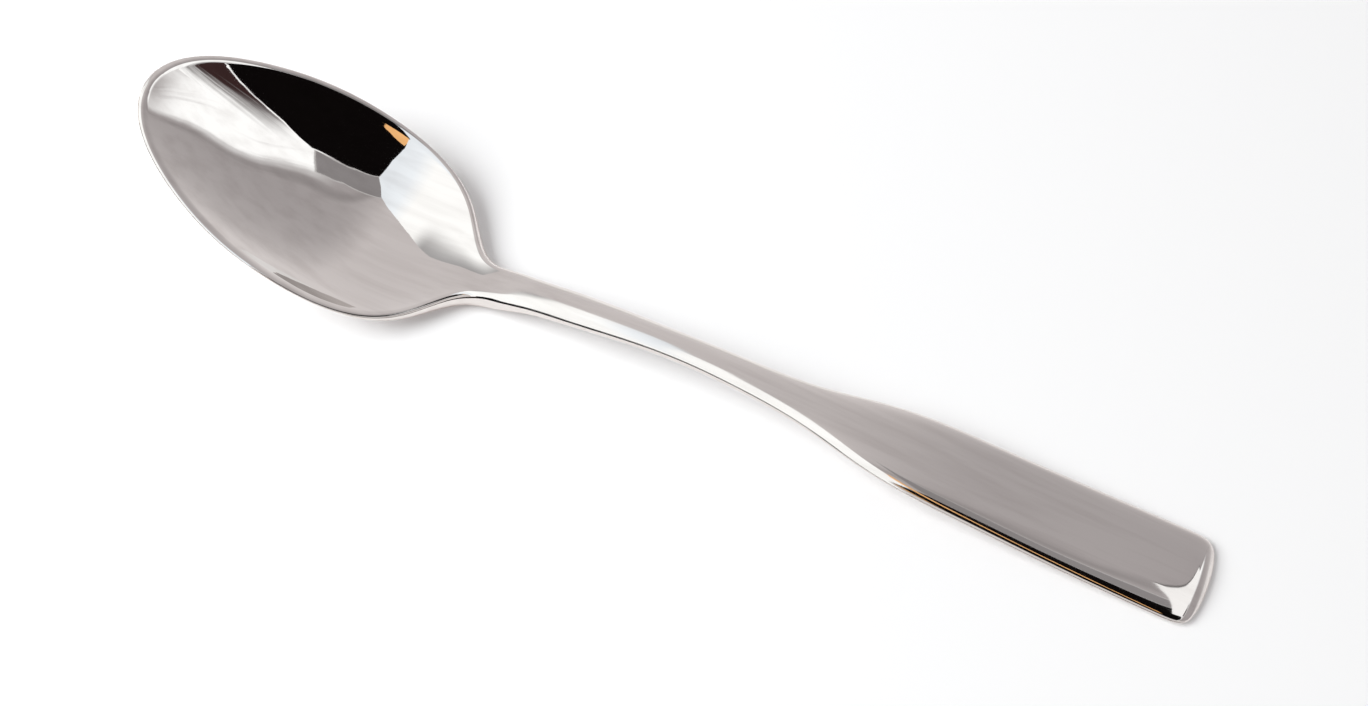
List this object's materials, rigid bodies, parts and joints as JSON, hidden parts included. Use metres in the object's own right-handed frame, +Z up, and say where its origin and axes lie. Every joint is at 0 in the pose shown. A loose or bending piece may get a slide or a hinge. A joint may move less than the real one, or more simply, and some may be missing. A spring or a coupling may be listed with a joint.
{
  "type": "teaspoon",
  "caption": "Polished steel teaspoon with a tilted oval bowl, a slender arched stem and a broad, flat, square-ended handle.",
  "frame": {"origin": "middle of the spoon's length and width, on the table that it rests on", "axes": "+X from the tip of the bowl to the end of the handle, +Y across the spoon, +Z up, with the hollow of the bowl facing up"},
  "size_m": [0.1551, 0.0314, 0.0197],
  "materials": {
    "polished_steel": "mirror-polished 18/10 stainless steel with faint lengthwise polishing lines"
  },
  "bodies": {
    "root": {"bowl": "polished_steel", "stem": "polished_steel", "handle": "polished_steel"}
  },
  "joints": []
}
